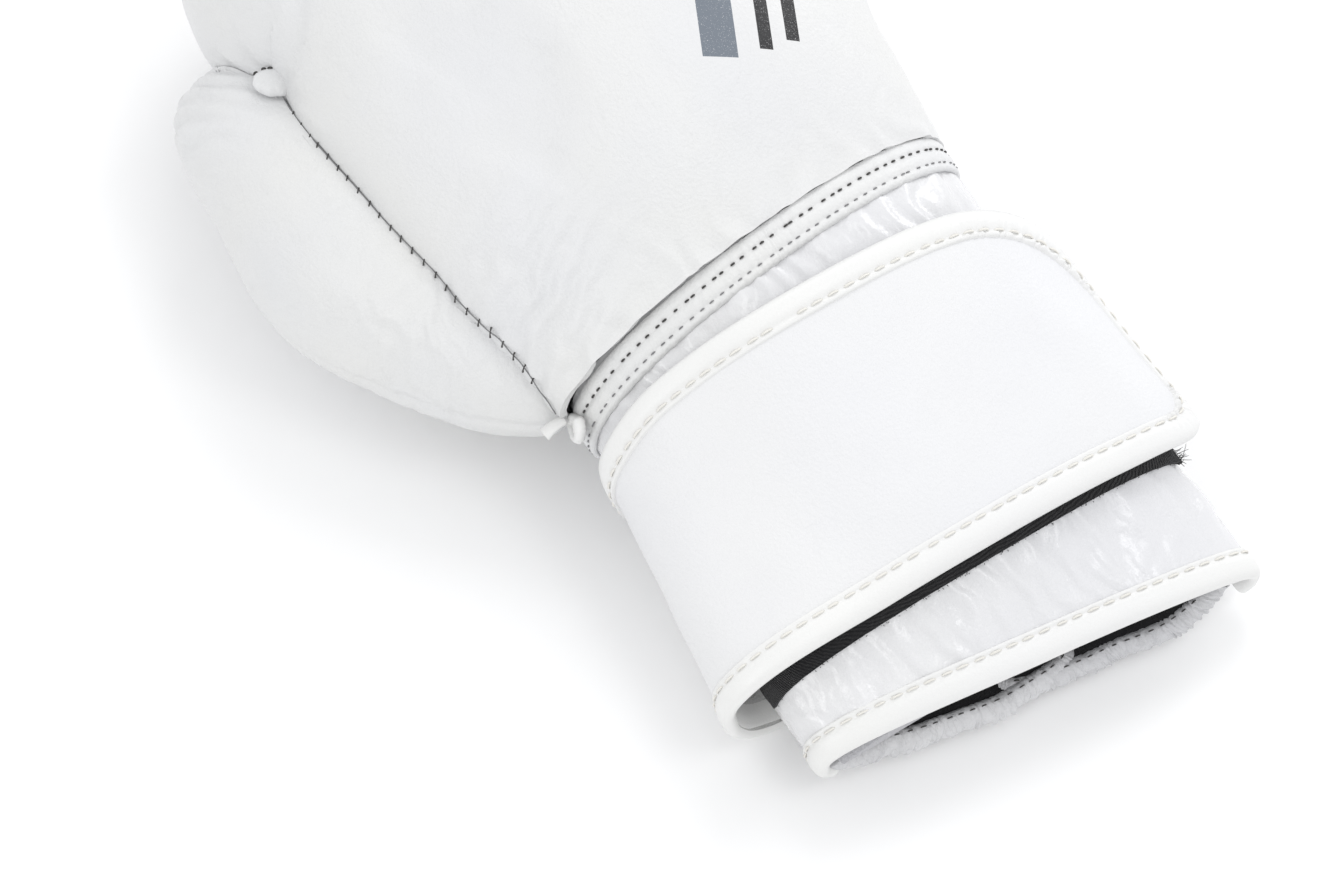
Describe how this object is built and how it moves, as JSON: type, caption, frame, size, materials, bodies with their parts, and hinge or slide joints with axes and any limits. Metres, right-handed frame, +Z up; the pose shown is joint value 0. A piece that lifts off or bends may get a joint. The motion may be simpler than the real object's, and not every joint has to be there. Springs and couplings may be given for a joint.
{
  "type": "boxing glove",
  "caption": "White leather boxing glove for the right hand, palm down, with a padded fist, attached thumb, open cuff and a hook-and-loop wrist strap.",
  "frame": {"origin": "middle of the glove's outline, on the floor it rests on", "axes": "+Z up out of the back of the hand, +Y from the cuff's mouth to the knuckles, thumb on the -X side"},
  "size_m": [0.1837, 0.288, 0.106],
  "materials": {
    "white_leather": "satin pebbled grain",
    "welt_leather": "satin with needle holes",
    "cuff_leather": "glossy and wrinkled",
    "strap_leather": "satin fine grain",
    "strap_backing_leather": "matte",
    "binding_leather": "smooth satin",
    "padding_foam": "matte",
    "lining_cloth": "matte woven",
    "loop_tape": "brushed loop pile",
    "hook_tape": "hooked nylon"
  },
  "bodies": {
    "glove": {"back_panel": "white_leather", "palm_panel": "white_leather", "wrist_welt": "welt_leather", "piping_curl": "binding_leather", "cuff_back": "cuff_leather", "thumb_flap": "cuff_leather", "finger_flap": "cuff_leather", "cuff_binding": "binding_leather", "cuff_foam": "padding_foam", "knuckle_foam": "padding_foam", "knuckle_liner_foam": "padding_foam", "palm_foam": "padding_foam", "finger_foam": "padding_foam", "grip_bar": "padding_foam", "hand_lining": "lining_cloth", "loop_patch": "loop_tape", "strap_sole": "strap_leather"},
    "thumb": {"thumb_outer_panel": "white_leather", "thumb_inner_panel": "white_leather", "thumb_lock_tab": "white_leather", "thumb_foam": "padding_foam", "thumb_lining": "lining_cloth"},
    "strap": {"strap_face": "strap_leather", "strap_backing": "strap_backing_leather", "strap_binding": "binding_leather"},
    "strap_tip": {"strap_tip_face": "strap_leather", "strap_tip_backing": "strap_backing_leather", "strap_tip_binding": "binding_leather", "hook_patch": "hook_tape"}
  },
  "joints": [
    {"name": "thumb_flex", "type": "hinge", "parent": "glove", "child": "thumb", "pos_m": [-0.057, 0.038, 0.065], "axis": [-0.218, 0.976, 0], "range_deg": [0, 6], "stiffness_Nm_per_rad": 2},
    {"name": "strap_fold", "type": "hinge", "parent": "glove", "child": "strap", "pos_m": [-0.0506, -0.083, 0.026], "axis": [-0.1435, -0.9897, 0], "range_deg": [0, 150]},
    {"name": "strap_peel", "type": "hinge", "parent": "strap", "child": "strap_tip", "pos_m": [0.033, -0.083, 0.0608], "axis": [0, -0.9409, -0.3387], "range_deg": [0, 100]}
  ]
}
